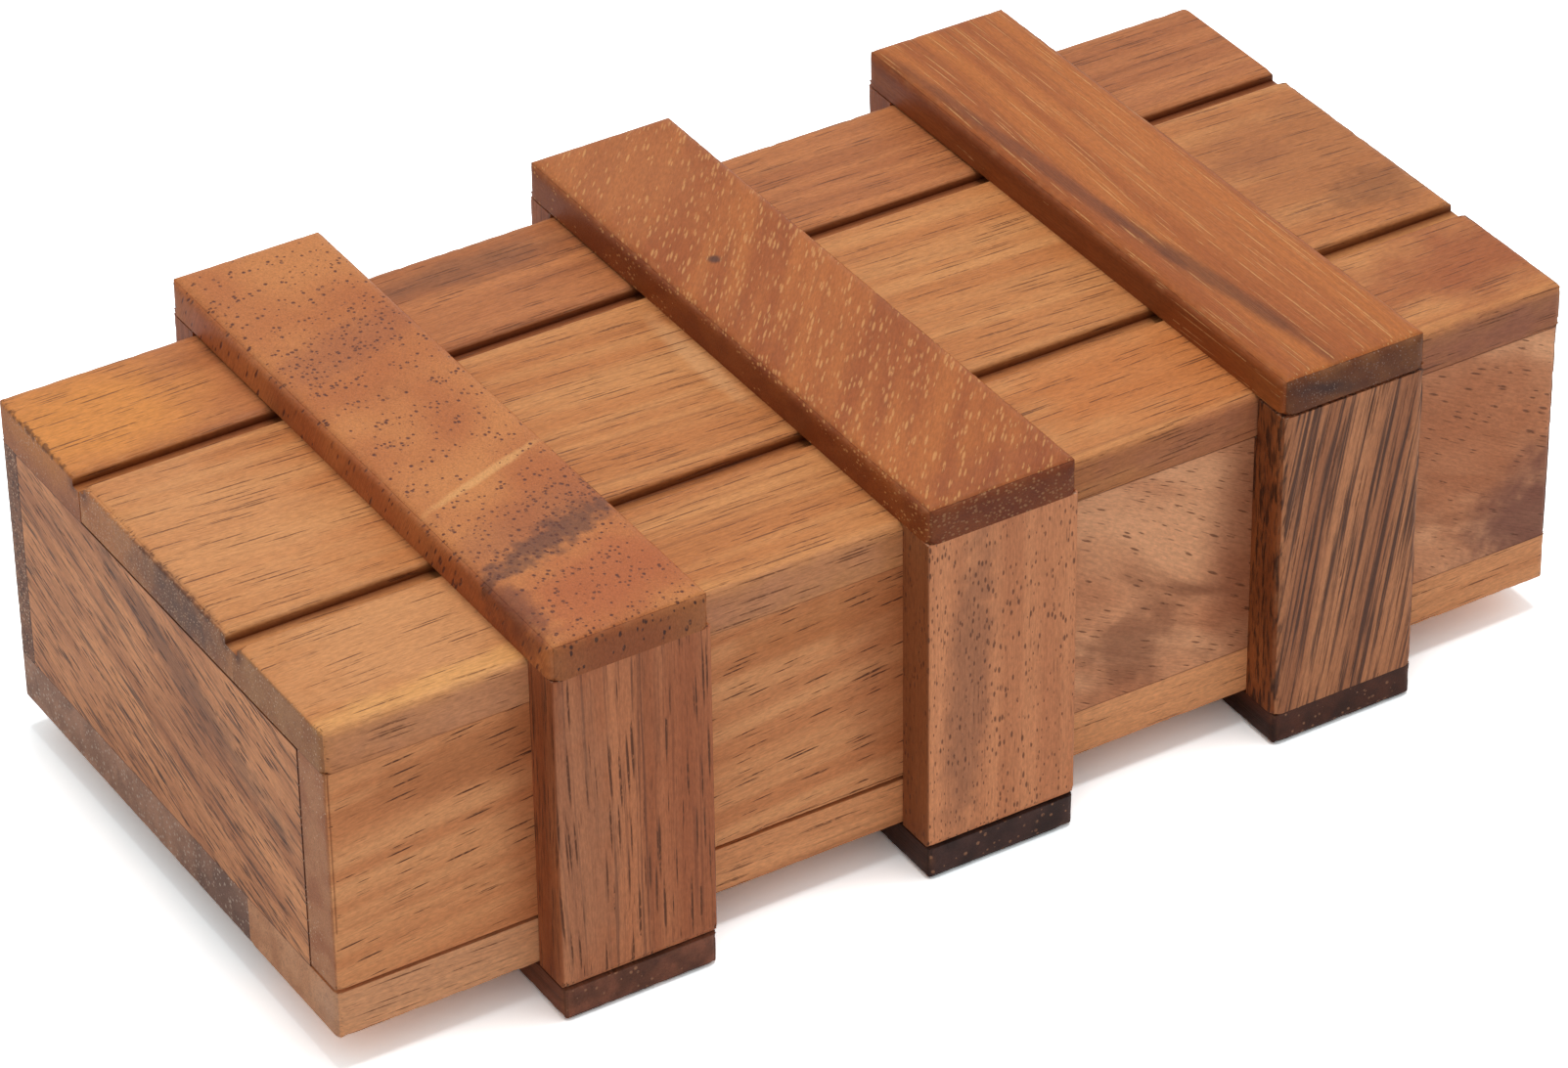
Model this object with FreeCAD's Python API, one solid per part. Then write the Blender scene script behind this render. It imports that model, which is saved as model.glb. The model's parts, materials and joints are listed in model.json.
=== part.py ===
# Wooden puzzle box in the form of a small crate. Its top, the left part of its front and their battens
# are one moving piece, the lid-and-front, which slides to the left. A tongue in its rear edge holds it down
# and stops it at both ends, and a loose pin that drops from it into the case locks it.
# Millimetres. +X runs along the box to the right, +Y to the rear, +Z up. The origin is on the surface
# that the box stands on, under the middle of its outline.
import FreeCAD, Part
import os

# Case: the boards of the box itself, without the battens round it
case_length = 165.0
case_width = 78.0
wall_height = 29.65
front_wall = 6.0
rear_wall = 4.0
end_wall = 6.0
top_board = 5.5
bottom_board = 6.6
rear_plank_width = 20.6
front_plank_width = 20.6
bottom_front_width = 21.0
groove_width = 2.8
groove_depth = 1.3
edge_ease = 0.5

# Battens: three bands round the case, each of a top, a bottom, a front and a rear batten. The outer bands
# stand a margin in from the ends, and all three a little to the right
batten_width = 20.0
band_margin = 34.5
band_shift = 0.8
top_batten = 4.8
side_batten = 5.4
bottom_batten = 4.4

# Front split: where the moving and the fixed front board part, to the right of the middle band's centre
split_shift = 2.0

# Clearances between the lid-and-front and the case
slide_gap = 0.25
floor_gap = 0.45
batten_gap = 0.4

# Tongue glued in the lid's rear edge, which runs in a stopped slot of the fixed rear plank
tongue_length = 66.0
tongue_thickness = 1.6
tongue_glued = 3.0
tongue_reach = 3.0
slot_margin = 14.5

# Lock: a loose pin in a bore under the left top batten, and the block of the case that it drops into
pin_diameter = 3.0
pin_length = 8.4
pin_drop = 5.0
pin_setback = 9.0
pin_fit = 0.08
pin_end_play = 0.3
pin_ease = 0.3
lock_block_width = 14.0
lock_block_depth = 10.0
lock_block_margin = 6.0

# Levels and faces that the pieces share
half_length = case_length / 2
half_width = case_width / 2
floor_top = bottom_batten + bottom_board
wall_top = floor_top + wall_height
rear_top = wall_top + top_board
lid_under = wall_top + slide_gap
lid_top = lid_under + top_board
front_face = -half_width
rear_face = half_width
fixed_front = front_face + slide_gap
front_inner = front_face + front_wall
rear_inner = rear_face - rear_wall
front_outer = front_face - side_batten
rear_outer = rear_face + side_batten
rear_seam = rear_face - rear_plank_width
front_seam = front_face + front_plank_width
bottom_seam = front_face + bottom_front_width
lid_rear = rear_seam - slide_gap
groove_half = groove_width / 2
band_pitch = half_length - band_margin
split = band_shift + split_shift
tongue_level = lid_under + (top_board - groove_depth) / 2
pin_y = lid_rear - pin_setback
pin_low = lid_under + pin_end_play

# Spans between two faces, which the boards share
whole_length = (-half_length, half_length)
wall_span = (floor_top, wall_top)
lid_span = (lid_under, lid_top)
floor_span = (bottom_batten, floor_top)
tongue_span = (half_length - slot_margin - tongue_length, half_length - slot_margin)
slot_span = (slot_margin - half_length - slide_gap, half_length - slot_margin + slide_gap)

# Two coordinates nearer than this are the same place
same_place = 1e-6

BANDS = {"left": -1, "middle": 0, "right": 1}
SIDES = {
    "left": ("x", 0),
    "right": ("x", 1),
    "front": ("y", 0),
    "rear": ("y", 1),
    "bottom": ("z", 0),
    "top": ("z", 1),
}
OUTER_CORNERS = ("left front", "left rear", "right front", "right rear")
TOP_EDGES = ("left top", "right top", "front top", "rear top")
BOTTOM_EDGES = ("left bottom", "right bottom", "front bottom", "rear bottom")


def band_x(band):
    """Middle of a band, along the box."""
    return band_shift + BANDS[band] * band_pitch


def band_span(band):
    """The two side faces of a band, along the box."""
    return band_x(band) - batten_width / 2, band_x(band) + batten_width / 2


def board(x, y, z):
    """Square block between two faces along each axis."""
    corner = FreeCAD.Vector(x[0], y[0], z[0])
    return Part.makeBox(x[1] - x[0], y[1] - y[0], z[1] - z[0], corner)


def corner_lines(x, y, z, *names):
    """Where two named sides of a block meet: the coordinates that hold along each such line."""
    spans = {"x": x, "y": y, "z": z}
    lines = []
    for name in names:
        sides = [SIDES[side] for side in name.split()]
        lines.append({axis: spans[axis][end] for axis, end in sides})
    return lines


def lies_on(edge, line):
    """Whether an edge runs along a corner line."""
    points = [vertex.Point for vertex in edge.Vertexes]
    return all(abs(getattr(point, axis) - line[axis]) < same_place for point in points for axis in line)


def ease(shape, lines):
    """Rounds the edges that run along the given corner lines."""
    edges = [edge for edge in shape.Edges if any(lies_on(edge, line) for line in lines)]
    return shape.makeFillet(edge_ease, edges)


def eased_board(x, y, z, *names):
    """Block with the named corners rounded."""
    return ease(board(x, y, z), corner_lines(x, y, z, *names))


def plank(y, z, groove_walls, *names):
    """Plank of the top with its half of each groove, which lies between a groove wall and the seam there."""
    shape = board(whole_length, y, z)
    lines = corner_lines(whole_length, y, z, "left top", "right top", *names)
    for seam, wall in groove_walls:
        strip = (min(seam, wall), max(seam, wall))
        shape = shape.cut(board(whole_length, strip, (z[1] - groove_depth, z[1])))
        lines.append({"y": wall, "z": z[1]})
    return ease(shape, lines)


def tongue_strip(x, y, room):
    """Strip at the tongue's level, with some room above and below it."""
    half = tongue_thickness / 2 + room
    return board(x, y, (tongue_level - half, tongue_level + half))


def pin_rod(radius, bottom, top):
    """Upright rod on the lock pin's axis, between two levels."""
    start = FreeCAD.Vector(band_x("left"), pin_y, bottom)
    return Part.makeCylinder(radius, top - bottom, start)


def pin_hole(bottom, top):
    """Hole for the lock pin, between two levels."""
    return pin_rod(pin_diameter / 2 + pin_fit, bottom, top)


def case_boards():
    """The fixed boards: rear plank of the top, walls, and the two boards of the bottom."""
    rear_span = (rear_seam, rear_face)
    rear_groove = [(rear_seam, rear_seam + groove_half)]
    rear_corners = ("left rear", "right rear")
    rear_plank = plank(rear_span, (wall_top, rear_top), rear_groove, "rear top", *rear_corners)
    slot = tongue_strip(slot_span, (rear_seam, rear_seam + tongue_reach + slide_gap), slide_gap)
    left_end = (-half_length, -half_length + end_wall)
    right_end = (half_length - end_wall, half_length)
    fixed_length = (split + slide_gap, half_length)
    rear_board = (whole_length, (rear_inner, rear_face), wall_span)
    front_board = (fixed_length, (fixed_front, front_inner), wall_span)
    rear_floor = (whole_length, (bottom_seam, rear_face), floor_span)
    front_floor = (whole_length, (fixed_front, bottom_seam), floor_span)
    return {
        "rear_top_plank": rear_plank.cut(slot),
        "rear_side_board": eased_board(*rear_board, *rear_corners),
        "left_end_panel": board(left_end, (front_inner + slide_gap, rear_inner), wall_span),
        "right_end_panel": board(right_end, (front_inner, rear_inner), wall_span),
        "front_side_board_right": eased_board(*front_board, "right front"),
        "bottom_board_rear": eased_board(*rear_floor, *rear_corners, *BOTTOM_EDGES),
        "bottom_board_front": eased_board(*front_floor, "left front", "right front", *BOTTOM_EDGES),
    }


def case_battens():
    """The fixed battens: under the bottom, up the rear, and up the front at the right band."""
    pieces = {}
    for band in BANDS:
        x = band_span(band)
        under = ((front_outer, rear_outer), (0, bottom_batten))
        rear = ((rear_face, rear_outer), (bottom_batten, rear_top))
        pieces["bottom_batten_" + band] = eased_board(x, *under, *OUTER_CORNERS, *BOTTOM_EDGES)
        pieces["rear_side_batten_" + band] = eased_board(x, *rear, "left rear", "right rear")
    x = band_span("right")
    top = lid_top - batten_gap
    front = eased_board(x, (front_outer, fixed_front), (bottom_batten, top), "left front", "right front")
    lid_room = board(x, (front_face - slide_gap, fixed_front), (wall_top, top))
    pieces["front_side_batten_right"] = front.cut(lid_room)
    return pieces


def lid_boards():
    """The moving boards: middle and front plank of the top, and the left part of the front."""
    middle_grooves = [(lid_rear, rear_seam - groove_half), (front_seam, front_seam + groove_half)]
    middle = plank((front_seam, lid_rear), lid_span, middle_grooves)
    mortise = tongue_strip(tongue_span, (lid_rear - tongue_glued, lid_rear), 0)
    front_groove = [(front_seam, front_seam - groove_half)]
    front = plank((front_face, front_seam), lid_span, front_groove, "front top", "left front", "right front")
    moving_span = (-half_length, split)
    board_span = (floor_top + floor_gap, lid_under)
    return {
        "lid_plank_middle": middle.cut([mortise, pin_hole(lid_under, lid_top)]),
        "lid_plank_front": front,
        "front_side_board_left": eased_board(
            moving_span, (front_face, front_inner), board_span, "left front", "front bottom"),
    }


def lid_battens():
    """The moving battens: across the top, and up the front at the left and the middle band."""
    pieces = {}
    for band in BANDS:
        across = ((front_outer, rear_outer), (lid_top, lid_top + top_batten))
        pieces["top_batten_" + band] = eased_board(band_span(band), *across, *OUTER_CORNERS, *TOP_EDGES)
    for band in ("left", "middle"):
        front = ((front_outer, front_face), (bottom_batten + slide_gap, lid_top))
        corners = ("left front", "right front", "front bottom")
        pieces["front_side_batten_" + band] = eased_board(band_span(band), *front, *corners)
    pin_top = pin_low + pin_length + pin_end_play
    pieces["top_batten_left"] = pieces["top_batten_left"].cut(pin_hole(lid_top, pin_top))
    return pieces


def guide_and_lock():
    """Inside the box: the lid's tongue, the lock pin, and the block of the case that takes the pin."""
    pin = pin_rod(pin_diameter / 2, pin_low, pin_low + pin_length)
    rims = [edge for edge in pin.Edges if edge.isClosed()]
    block_x = (band_x("left") - lock_block_width / 2, band_x("left") + lock_block_width / 2)
    block_y = (pin_y - lock_block_margin, rear_inner)
    block = board(block_x, block_y, (wall_top - lock_block_depth, wall_top))
    return {
        "lid_tongue": tongue_strip(tongue_span, (lid_rear - tongue_glued, rear_seam + tongue_reach), 0),
        "lock_pin": pin.makeFillet(pin_ease, rims),
        "lock_block": block.cut(pin_hole(pin_low - pin_drop - pin_end_play, wall_top)),
    }


os.makedirs("parts", exist_ok=True)
nodes = {**case_boards(), **case_battens(), **lid_boards(), **lid_battens(), **guide_and_lock()}
for name, shape in nodes.items():
    shape.exportStep("parts/" + name + ".step")
    print(name, len(shape.Solids), "solid", round(shape.Volume), "mm3", "valid" if shape.isValid() else "BAD")
box = Part.makeCompound(list(nodes.values())).BoundBox
print(len(nodes), "nodes, overall", round(box.XLength, 2), round(box.YLength, 2), round(box.ZLength, 2))
print("lid travel", tongue_span[0] - slot_span[0] - slide_gap, "pin drop", pin_drop)
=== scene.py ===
# %% [markdown]
# The box is a small crate of oiled tropical hardwood, put together from planks, boards and battens.
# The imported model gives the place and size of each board. Here each board gets worn edges and a finish
# of its own, because no two boards of the real box are cut from the same part of a log.

# %% Load the frame
import json
import math

import bmesh
import bpy
from mathutils import Matrix, Vector


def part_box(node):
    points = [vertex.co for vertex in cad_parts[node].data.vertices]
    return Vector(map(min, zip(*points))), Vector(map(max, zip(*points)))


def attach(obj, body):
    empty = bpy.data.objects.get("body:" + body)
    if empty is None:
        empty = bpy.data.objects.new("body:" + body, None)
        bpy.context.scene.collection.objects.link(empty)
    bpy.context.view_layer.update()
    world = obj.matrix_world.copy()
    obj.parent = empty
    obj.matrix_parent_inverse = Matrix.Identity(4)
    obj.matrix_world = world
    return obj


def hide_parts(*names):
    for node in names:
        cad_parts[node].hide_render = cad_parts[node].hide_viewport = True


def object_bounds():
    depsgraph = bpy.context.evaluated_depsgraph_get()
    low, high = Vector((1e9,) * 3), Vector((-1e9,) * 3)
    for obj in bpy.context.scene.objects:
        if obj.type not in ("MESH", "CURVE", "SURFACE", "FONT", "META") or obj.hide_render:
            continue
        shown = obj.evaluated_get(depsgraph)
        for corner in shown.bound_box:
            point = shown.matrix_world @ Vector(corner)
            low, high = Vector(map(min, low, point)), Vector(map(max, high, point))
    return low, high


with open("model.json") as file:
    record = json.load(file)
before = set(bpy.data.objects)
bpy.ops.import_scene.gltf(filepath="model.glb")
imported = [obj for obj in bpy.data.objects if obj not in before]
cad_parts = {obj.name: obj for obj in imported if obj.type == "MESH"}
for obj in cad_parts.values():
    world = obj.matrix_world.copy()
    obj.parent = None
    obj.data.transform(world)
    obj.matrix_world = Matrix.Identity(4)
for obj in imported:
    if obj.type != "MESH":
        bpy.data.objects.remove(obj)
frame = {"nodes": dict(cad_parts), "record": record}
MM = 0.001
cad_low, cad_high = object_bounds()
bodies = frame["record"]["behaviour"]["bodies"]
body_of_node = {node: body for body, members in bodies.items() for node in members}
cad_size = [round(side / MM, 1) for side in cad_high - cad_low]
print(len(frame["nodes"]), "boards and fittings, box", cad_size, "mm")

# %% [markdown]
# The photograph looks down on the front left corner from a distance, with a long lens. The camera is
# given by where it aims, how far it stands back, and its two angles and a slight roll. Those say more
# than a raw position and rotation, and each can be checked against an edge of the box by itself.

# %% Camera
IMAGE_WIDTH = 1603
FOCAL_PIXELS = 6814.0
SENSOR_WIDTH = 36.0
NEAREST = 0.05
aim = Vector((-5.1, -6.9, 25.0)) * MM
stand_back = 776.0 * MM
azimuth = math.radians(-31.3)
elevation = math.radians(34.5)
roll = math.radians(-0.8)

back = Vector((
    math.sin(azimuth) * math.cos(elevation),
    -math.cos(azimuth) * math.cos(elevation),
    math.sin(elevation),
))
level = (-back).cross(Vector((0, 0, 1))).normalized()
upright = level.cross(-back)
right = math.cos(roll) * level + math.sin(roll) * upright
up = math.cos(roll) * upright - math.sin(roll) * level

lens = bpy.data.cameras.new("camera")
lens.sensor_width = SENSOR_WIDTH
lens.lens = FOCAL_PIXELS * SENSOR_WIDTH / IMAGE_WIDTH
lens.clip_start = NEAREST
camera = bpy.data.objects.new("camera", lens)
pose = Matrix((right, up, back)).transposed().to_4x4()
pose.translation = aim + back * stand_back
camera.matrix_world = pose
bpy.context.scene.collection.objects.link(camera)
bpy.context.scene.camera = camera
bpy.context.scene.view_settings.view_transform = "Standard"
print("lens", round(lens.lens, 1), "mm, camera at", [round(x, 3) for x in camera.location])

# %% [markdown]
# Nearly everything here is made of nodes, so a few small helpers come first. One adds a node and either
# links or sets each socket by its name. The others add a node for a sum, a mix of colours or a soft step.
# They keep the recipes below as short as the ideas in them.


# %% Node helpers
def plug(tree, socket, value):
    """Links a socket to another node's output, or sets it to any other value."""
    if isinstance(value, bpy.types.NodeSocket):
        tree.links.new(value, socket)
    else:
        socket.default_value = value


def add(tree, kind, options=None, **sockets):
    """Adds a node, with its options set and its sockets plugged by name."""
    made = tree.nodes.new(kind)
    for option, value in (options or {}).items():
        setattr(made, option, value)
    for name, value in sockets.items():
        plug(tree, made.inputs[name.replace("_", " ")], value)
    return made


def calc(tree, operation, first, second=0.0):
    """Number worked out from one or two numbers."""
    made = add(tree, "ShaderNodeMath", {"operation": operation})
    plug(tree, made.inputs[0], first)
    plug(tree, made.inputs[1], second)
    return made.outputs[0]


def vector_calc(tree, operation, first, second=(0.0, 0.0, 0.0), result="Vector"):
    """Vector worked out from one or two vectors, or a number where the result asks for its value."""
    made = add(tree, "ShaderNodeVectorMath", {"operation": operation})
    plug(tree, made.inputs[0], first)
    plug(tree, made.inputs[1], second)
    return made.outputs[result]


def blend(tree, amount, first, second, mode="MIX"):
    """Colour that goes from the first to the second by the amount. A Mix node has sockets for
    numbers and vectors too, and those for colours are the seventh and the eighth."""
    made = add(tree, "ShaderNodeMix", {"data_type": "RGBA", "blend_type": mode})
    plug(tree, made.inputs[0], amount)
    plug(tree, made.inputs[6], first)
    plug(tree, made.inputs[7], second)
    return made.outputs[2]


def fade(tree, value, start, end, low=0.0, high=1.0):
    """Number that goes smoothly from low to high while the value goes from start to end."""
    made = add(tree, "ShaderNodeMapRange", {"interpolation_type": "SMOOTHSTEP"})
    for socket, given in zip(made.inputs, (value, start, end, low, high)):
        plug(tree, socket, given)
    return made.outputs[0]


def paint(red, green, blue):
    """Colour as it looks on a screen, from 0 to 255, turned into the linear colour that shaders take."""
    parts = [part / 255 for part in (red, green, blue)]
    return tuple(c / 12.92 if c < 0.04045 else ((c + 0.055) / 1.055) ** 2.4 for c in parts) + (1.0,)


def empty_material(name):
    """New material without nodes, and its tree."""
    material = bpy.data.materials.new(name)
    material.use_nodes = True
    material.node_tree.nodes.clear()
    return material, material.node_tree


print("the middle of the screen's greys is", round(paint(128, 128, 128)[0], 3), "in linear light")

# %% [markdown]
# The photograph has a pure white ground with a soft grey shadow. A lamp strong enough to burn the ground
# white would also bleach the wood. Instead the floor is whiter than paper for the camera alone. For mirrors
# it is plain white, and for all other light a pale floor, so the light on the box stays level. Warm light
# from the wood falls into the shadow, so the floor that the camera sees is slightly cool.

# %% Floor
FLOOR_SIZE = 6.0
FLOOR_FOR_CAMERA = 2.3
FLOOR_FOR_MIRRORS = 1.05
FLOOR_FOR_LIGHT = 0.9
COOL_PAPER = (0.94, 1.0, 1.02)


def white_level(tree, for_light, for_mirrors, for_camera):
    """Level that differs for plain light, for what mirrors and glass show, and for what the camera sees."""
    path = add(tree, "ShaderNodeLightPath").outputs
    mirrored = calc(tree, "MAXIMUM", path["Is Glossy Ray"], path["Is Transmission Ray"])
    least = fade(tree, mirrored, 0.0, 1.0, for_light, for_mirrors)
    return calc(tree, "MAXIMUM", least, calc(tree, "MULTIPLY", path["Is Camera Ray"], for_camera))


half = FLOOR_SIZE / 2
floor_corners = [(-half, -half, 0), (half, -half, 0), (half, half, 0), (-half, half, 0)]
floor_mesh = bpy.data.meshes.new("floor")
floor_mesh.from_pydata(floor_corners, [], [(0, 1, 2, 3)])
floor = bpy.data.objects.new("floor", floor_mesh)
bpy.context.scene.collection.objects.link(floor)

pale, tree = empty_material("pale floor")
seen = [FLOOR_FOR_CAMERA * share for share in COOL_PAPER]
red, green, blue = [white_level(tree, FLOOR_FOR_LIGHT, FLOOR_FOR_MIRRORS, level) for level in seen]
paper = add(tree, "ShaderNodeCombineColor", Red=red, Green=green, Blue=blue)
surface = add(tree, "ShaderNodeBsdfDiffuse", Color=paper.outputs[0])
add(tree, "ShaderNodeOutputMaterial", Surface=surface.outputs[0])
floor_mesh.materials.append(pale)
print("floor of", FLOOR_SIZE, "m, seen at", [round(level, 2) for level in seen])

# %% [markdown]
# The shadow in the photograph is even all round the box, so one part of the light comes from all sides
# alike. The other is a softbox overhead, which lights the top more than the sides.

# %% Light
AMBIENT = 0.5
WHITE = (1.0, 1.0, 1.0, 1.0)
LAMP_PLACE = Vector((0.06, 0.0, 1.0))
LAMP_POWER = 4.7
LAMP_SIZE = 0.36

world = bpy.data.worlds.new("studio")
bpy.context.scene.world = world
world.use_nodes = True
tree = world.node_tree
tree.nodes.clear()
sky = add(tree, "ShaderNodeBackground", Color=WHITE, Strength=white_level(tree, AMBIENT, 1.0, 1.0))
add(tree, "ShaderNodeOutputWorld", Surface=sky.outputs[0])

lamp = bpy.data.lights.new("lamp overhead", "AREA")
lamp.energy = LAMP_POWER
lamp.size = LAMP_SIZE
lamp_holder = bpy.data.objects.new("lamp overhead", lamp)
lamp_holder.location = LAMP_PLACE
lamp_holder.rotation_euler = (aim - LAMP_PLACE).to_track_quat("-Z", "Y").to_euler()
bpy.context.scene.collection.objects.link(lamp_holder)
print("ambient light", AMBIENT, "and one softbox overhead of", LAMP_POWER, "W")

# %% [markdown]
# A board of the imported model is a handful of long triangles. To take small dents and chips along its edges
# it needs points there. Its copy is joined up, its flat faces are made whole, and it is then sliced into
# small squares, with a few more cuts close to the edges. The longest way goes first, because slicing stays
# quick while there are few faces.

# %% Slice a board into small squares
SQUARE = 0.8 * MM
NEAR_EDGE = (0.25 * MM, 0.75 * MM, 1.1 * MM)
EDGE_ROOM = 4
JOIN_WITHIN = 1e-6
FLAT_WITHIN = math.radians(0.5)


def cuts(length):
    """Where a side of a board is cut: in even steps, and near both edges where there is room."""
    count = max(2, round(length / SQUARE))
    even = [length * step / count for step in range(1, count)]
    insets = [inset for inset in NEAR_EDGE if length > EDGE_ROOM * inset]
    return even + [place for inset in insets for place in (inset, length - inset)]


def sliced(node):
    """Copy of a board of the frame, cut into small squares."""
    mesh = bmesh.new()
    mesh.from_mesh(frame["nodes"][node].data)
    bmesh.ops.remove_doubles(mesh, verts=mesh.verts, dist=JOIN_WITHIN)
    bmesh.ops.dissolve_limit(mesh, angle_limit=FLAT_WITHIN, verts=mesh.verts, edges=mesh.edges)
    low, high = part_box(node)
    for axis in sorted(range(3), key=lambda axis: low[axis] - high[axis]):
        along = Vector([float(axis == other) for other in range(3)])
        for cut in cuts(high[axis] - low[axis]):
            everything = mesh.verts[:] + mesh.edges[:] + mesh.faces[:]
            point = along * (low[axis] + cut)
            bmesh.ops.bisect_plane(mesh, geom=everything, dist=JOIN_WITHIN, plane_co=point, plane_no=along)
    made = bpy.data.meshes.new(node)
    mesh.to_mesh(made)
    mesh.free()
    return made


print("squares of", round(SQUARE / MM, 2), "mm")

# %% [markdown]
# Sanding by hand and years of handling roll the edges of a board over and leave them a little uneven, with
# small chips. A rule says where: close to a rounded outer edge, the chips only in some places along it.
# Geometry Nodes follow the rule on every board alike. The tree finds the edges by their angle, measures how
# near each point is to one, and pushes the point in: smoothly for the rolled edge, and by a noise for the
# chips. The push follows the mean of the faces round a point, because a point's own normal comes out wrong
# at the pole of a round corner.

# %% Measures for the worn edges
SHARP_FROM = math.radians(8)
SQUARE_FROM = math.radians(60)
SEAM_REACH = 0.5 * MM
HOLLOW_REACH = 1.5 * MM
CHIP_EDGES = (0.45, 0.8)
CHIP_DETAIL = 3.0
CHIP_ROUGHNESS = 0.65
ROLL_CURVE = 2.0


def nearness(tree, geometry, chosen, reach):
    """One on the chosen edges, down to nought at a reach from them."""
    by_edge = {"domain": "EDGE"}
    edges = add(tree, "GeometryNodeSeparateGeometry", by_edge, Geometry=geometry, Selection=chosen)
    nearest = add(tree, "GeometryNodeProximity", {"target_element": "EDGES"})
    plug(tree, nearest.inputs[0], edges.outputs["Selection"])
    share = calc(tree, "SUBTRACT", 1.0, calc(tree, "DIVIDE", nearest.outputs["Distance"], reach))
    return calc(tree, "MULTIPLY", calc(tree, "MAXIMUM", share, 0.0), nearest.outputs["Is Valid"])


def facing(tree, normal, axis):
    """How squarely a face looks along an axis, either way."""
    return calc(tree, "ABSOLUTE", vector_calc(tree, "DOT_PRODUCT", normal, axis, "Value"))


def chips(tree, given):
    """One where an edge is chipped and nought where it is whole, by a noise of the chips' size."""
    place = add(tree, "GeometryNodeInputPosition").outputs[0]
    per_chip = calc(tree, "DIVIDE", 1.0, given["Chip Size"])
    noise = add(
        tree, "ShaderNodeTexNoise", {"noise_dimensions": "4D"}, Vector=place, W=given["Seed"],
        Scale=per_chip, Detail=CHIP_DETAIL, Roughness=CHIP_ROUGHNESS)
    return fade(tree, noise.outputs[0], *CHIP_EDGES)


rolled_range = [round(math.degrees(angle)) for angle in (SHARP_FROM, SQUARE_FROM)]
print("edges that turn by", rolled_range[0], "to", rolled_range[1], "degrees are rolled over")

# %% [markdown]
# The tree itself is short with these measures. Besides moving points it keeps five values for the finish.
# Two say how squarely a face is an end of the board, where the grain is cut across, or a side of a batten.
# The others say how worn a point is, and how near it is to an outer edge and to an inner corner, as in a
# groove. The finish paints shade on the sides of battens and in inner corners.

# %% Geometry Nodes tree for worn edges
WEAR_INPUTS = {
    "Rolled": "Float",
    "Depth": "Float",
    "Reach": "Float",
    "Chip Size": "Float",
    "Seed": "Float",
    "Length Axis": "Vector",
    "Side Axis": "Vector",
    "Finish": "Material",
}


def worn_edges_tree():
    tree = bpy.data.node_groups.new("worn edges", "GeometryNodeTree")
    tree.interface.new_socket("Geometry", in_out="INPUT", socket_type="NodeSocketGeometry")
    for name, kind in WEAR_INPUTS.items():
        tree.interface.new_socket(name, in_out="INPUT", socket_type="NodeSocket" + kind)
    tree.interface.new_socket("Geometry", in_out="OUTPUT", socket_type="NodeSocketGeometry")
    given = add(tree, "NodeGroupInput").outputs
    board = given["Geometry"]

    angle = add(tree, "GeometryNodeInputMeshEdgeAngle").outputs["Signed Angle"]
    outer = calc(tree, "GREATER_THAN", angle, SHARP_FROM)
    rounded = calc(tree, "MULTIPLY", outer, calc(tree, "LESS_THAN", angle, SQUARE_FROM))
    inner = calc(tree, "LESS_THAN", angle, -SHARP_FROM)
    near = nearness(tree, board, rounded, given["Reach"])
    worn = calc(tree, "MULTIPLY", near, chips(tree, given))
    rolled = calc(tree, "MULTIPLY", calc(tree, "POWER", near, ROLL_CURVE), given["Rolled"])
    inwards = calc(tree, "ADD", rolled, calc(tree, "MULTIPLY", worn, given["Depth"]))

    normal = add(tree, "GeometryNodeInputNormal").outputs[0]
    per_face = {"domain": "FACE", "data_type": "FLOAT_VECTOR"}
    of_faces = add(tree, "GeometryNodeFieldOnDomain", per_face, Value=normal)
    outwards = vector_calc(tree, "NORMALIZE", of_faces.outputs[0])
    push = vector_calc(tree, "MULTIPLY", outwards, calc(tree, "MULTIPLY", inwards, -1.0))
    values = (
        ("end_grain", "FACE", facing(tree, normal, given["Length Axis"])),
        # faces across a batten, which the finish darkens as painted shade
        ("sawn_side", "FACE", facing(tree, normal, given["Side Axis"])),
        ("wear", "POINT", worn),
        ("edge", "POINT", nearness(tree, board, outer, SEAM_REACH)),
        # nearness to an inner corner, where the finish paints shade
        ("hollow", "POINT", nearness(tree, board, inner, HOLLOW_REACH)),
    )
    for name, domain, value in values:
        numbers = {"data_type": "FLOAT", "domain": domain}
        stored = add(
            tree, "GeometryNodeStoreNamedAttribute", numbers, Geometry=board, Name=name, Value=value)
        board = stored.outputs[0]
    moved = add(tree, "GeometryNodeSetPosition", Geometry=board, Offset=push)
    whole = add(tree, "GeometryNodeRealizeInstances", Geometry=moved.outputs[0])
    coated = add(tree, "GeometryNodeSetMaterial", Geometry=whole.outputs[0], Material=given["Finish"])
    add(tree, "NodeGroupOutput", Geometry=coated.outputs[0])
    return tree


worn_edges = worn_edges_tree()
print("worn edges tree:", len(worn_edges.nodes), "nodes")

# %% [markdown]
# Wood is a solid: the same fibres that run as lines along a board end as dots on its end. So the finish is
# worked out in the log, in millimetres, with the grain along the first axis, and not painted face by face.
# From broad to fine the layers are the tone, dark streaks of growth, marks that belong to one board, fibres,
# and pores. The turns below say how a board was cut: its grain runs along the box, across it, or upright.

# %% Place in the log
ALONG_X = (0, 0, 0)
ALONG_Y = (0, 0, -90)
UPRIGHT = (0, 90, 0)
SWAY_SIZE = (70, 18, 18)
MIDDLE = (0.5, 0.5, 0.5)
GRAIN_ROUGHNESS = 0.6


def sized(tree, place, size):
    """Place counted in steps of a size along each axis."""
    return vector_calc(tree, "DIVIDE", place, size)


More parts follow.
